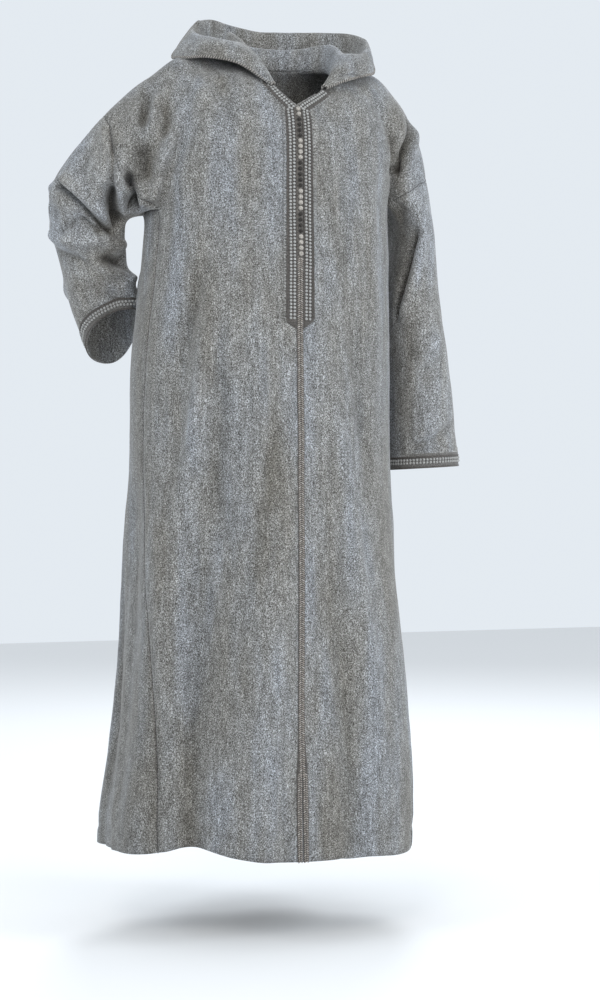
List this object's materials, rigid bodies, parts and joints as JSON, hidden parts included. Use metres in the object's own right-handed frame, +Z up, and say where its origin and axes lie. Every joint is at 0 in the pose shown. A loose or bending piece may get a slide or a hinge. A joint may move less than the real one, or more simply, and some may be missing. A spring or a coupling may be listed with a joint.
{
  "type": "hooded djellaba robe",
  "caption": "Long hooded robe of marled wool, worn with one hand on the hip, with a braided front placket, knotted ball buttons and braided cuffs.",
  "frame": {"origin": "the base of the wearer's neck, on the body's middle line, where the neck and shoulders hold the robe up", "axes": "+Z up, -Y the way the front faces, +X toward the wearer's left"},
  "size_m": [0.7857, 0.4702, 1.5518],
  "materials": {
    "wool_cloth": "brushed",
    "braid": "corded",
    "pale_knot": "corded",
    "dark_knot": "corded"
  },
  "bodies": {
    "root": {"front_right": "wool_cloth", "front_left": "wool_cloth", "back": "wool_cloth", "gore_right": "wool_cloth", "gore_left": "wool_cloth", "sleeve_right": "wool_cloth", "sleeve_left": "wool_cloth", "hood": "wool_cloth", "placket_braid_right": "braid", "placket_braid_left": "braid", "loop_strip": "braid", "front_braid": "braid", "slit_braid_right": "braid", "slit_braid_left": "braid", "cuff_braid_right": "braid", "cuff_braid_left": "braid", "button_01": "pale_knot", "button_02": "pale_knot", "button_03": "dark_knot", "button_04": "dark_knot", "button_05": "dark_knot", "button_06": "dark_knot", "button_07": "pale_knot", "button_08": "pale_knot", "button_09": "pale_knot", "button_10": "pale_knot", "button_11": "dark_knot", "button_12": "dark_knot", "button_13": "dark_knot", "button_14": "dark_knot", "button_15": "dark_knot", "button_16": "pale_knot", "button_17": "pale_knot", "button_18": "pale_knot", "button_19": "pale_knot", "button_20": "dark_knot", "button_21": "dark_knot", "button_22": "dark_knot", "button_23": "dark_knot", "button_24": "pale_knot", "button_25": "pale_knot", "button_26": "pale_knot", "button_27": "pale_knot"}
  },
  "joints": []
}
